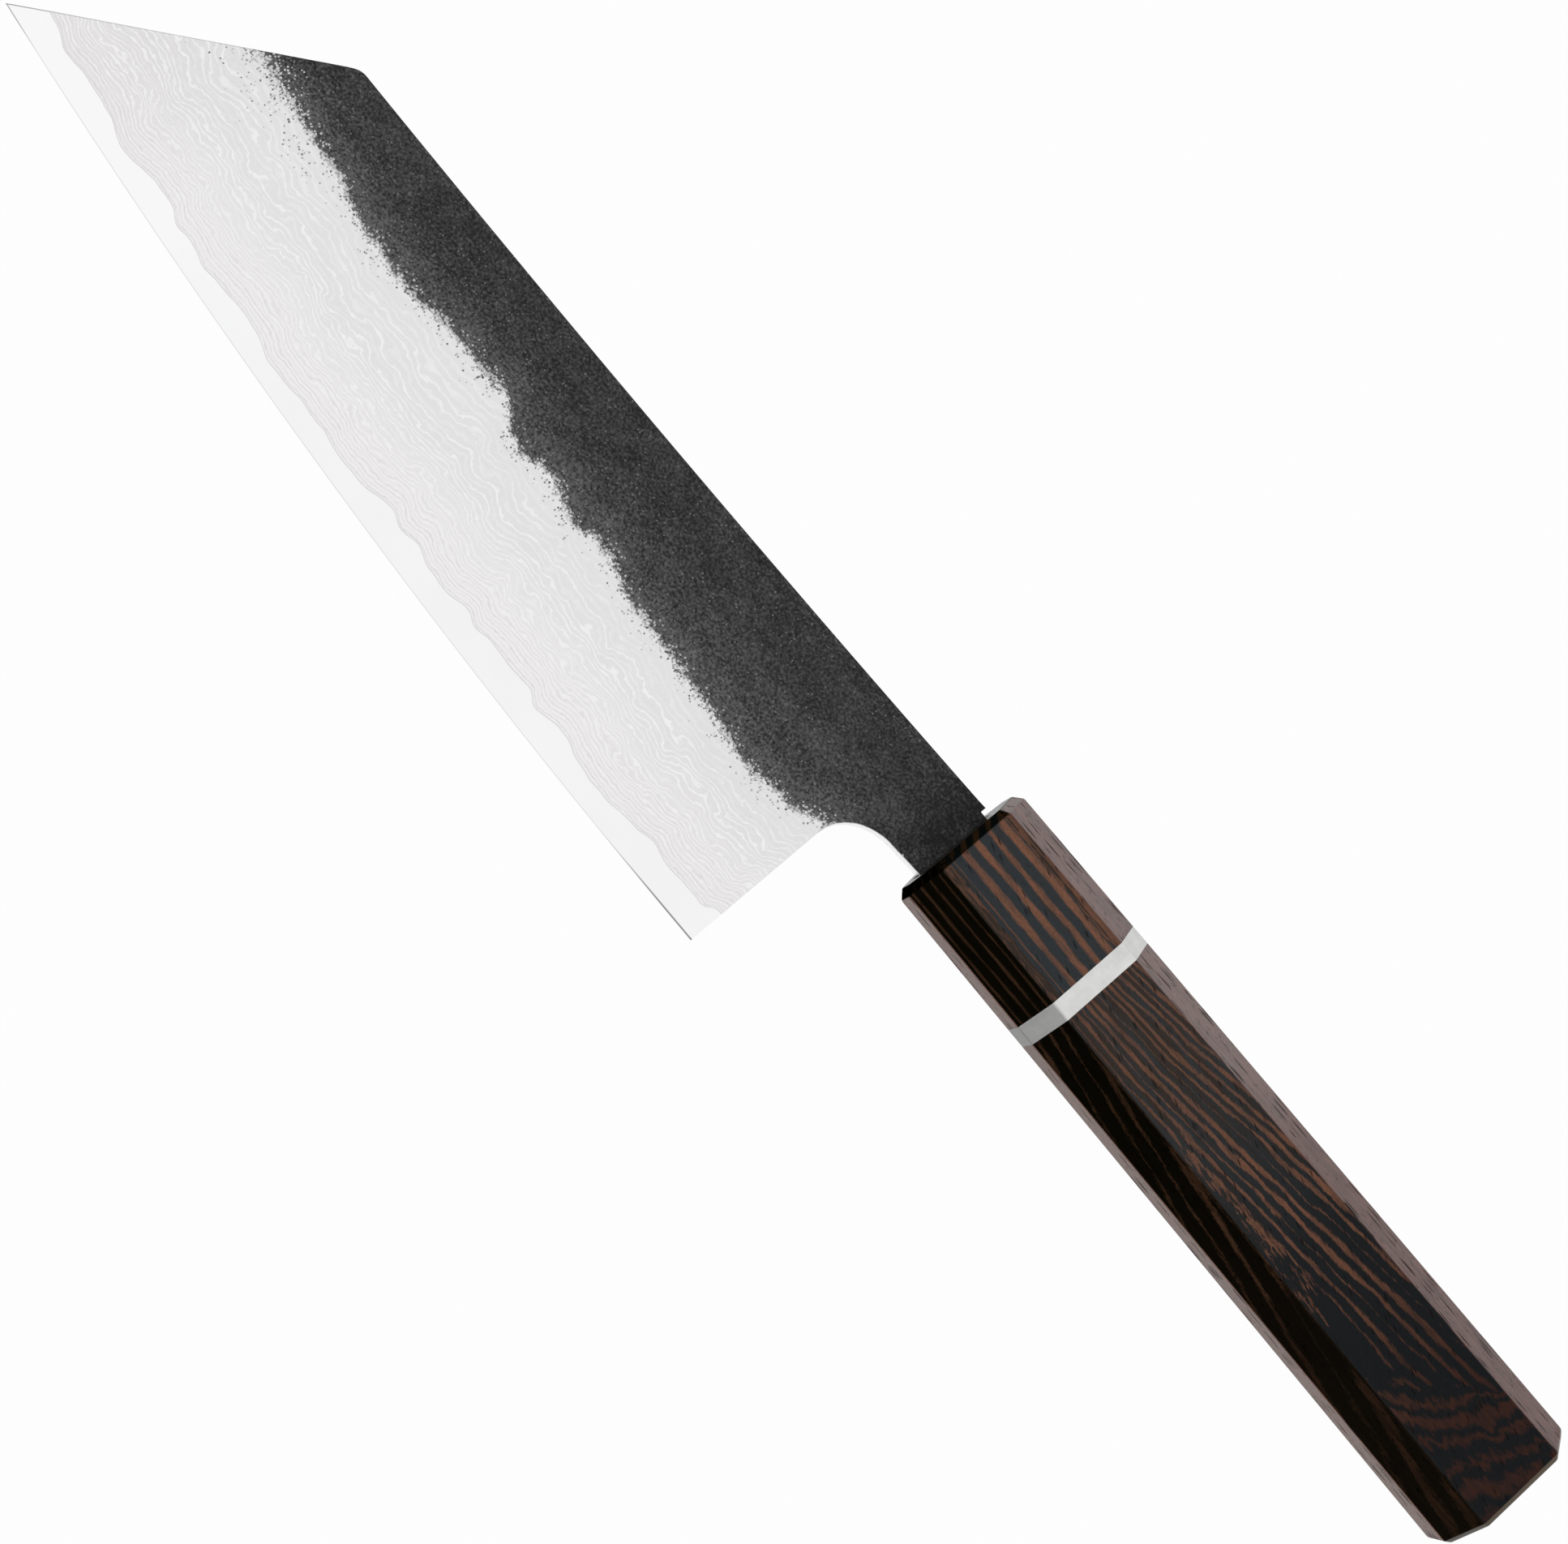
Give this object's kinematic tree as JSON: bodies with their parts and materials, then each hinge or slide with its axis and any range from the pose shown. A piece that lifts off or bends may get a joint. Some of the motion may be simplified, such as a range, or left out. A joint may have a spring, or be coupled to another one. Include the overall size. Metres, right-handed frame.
{
  "type": "bunka knife",
  "caption": "Kitchen knife with a clipped tip, a three-layer blade left black above its ground bevel, and an eight-sided wooden handle with a white spacer ring.",
  "frame": {"origin": "centre of the knife's footprint, on the surface that the handle's lower side flat rests on", "axes": "+X runs from the tip to the butt, +Y from the cutting edge to the spine, +Z out of the blade's left face"},
  "size_m": [0.328, 0.0556, 0.0223],
  "materials": {
    "core_steel": "hard core steel, fine hazy polish",
    "cladding_steel": "black forge scale above the bevel, etched layered steel on it",
    "dark_wood": "satin dark wood with brown stripes and open pores",
    "white_spacer": "satin white, faintly clouded",
    "dowel_wood": "plain sawn",
    "bedding_resin": "cured resin"
  },
  "bodies": {
    "root": {"core_steel": "core_steel", "left_cladding": "cladding_steel", "right_cladding": "cladding_steel", "ferrule": "dark_wood", "spacer_ring": "white_spacer", "handle_body": "dark_wood", "dowel": "dowel_wood", "tang_bedding": "bedding_resin"}
  },
  "joints": []
}
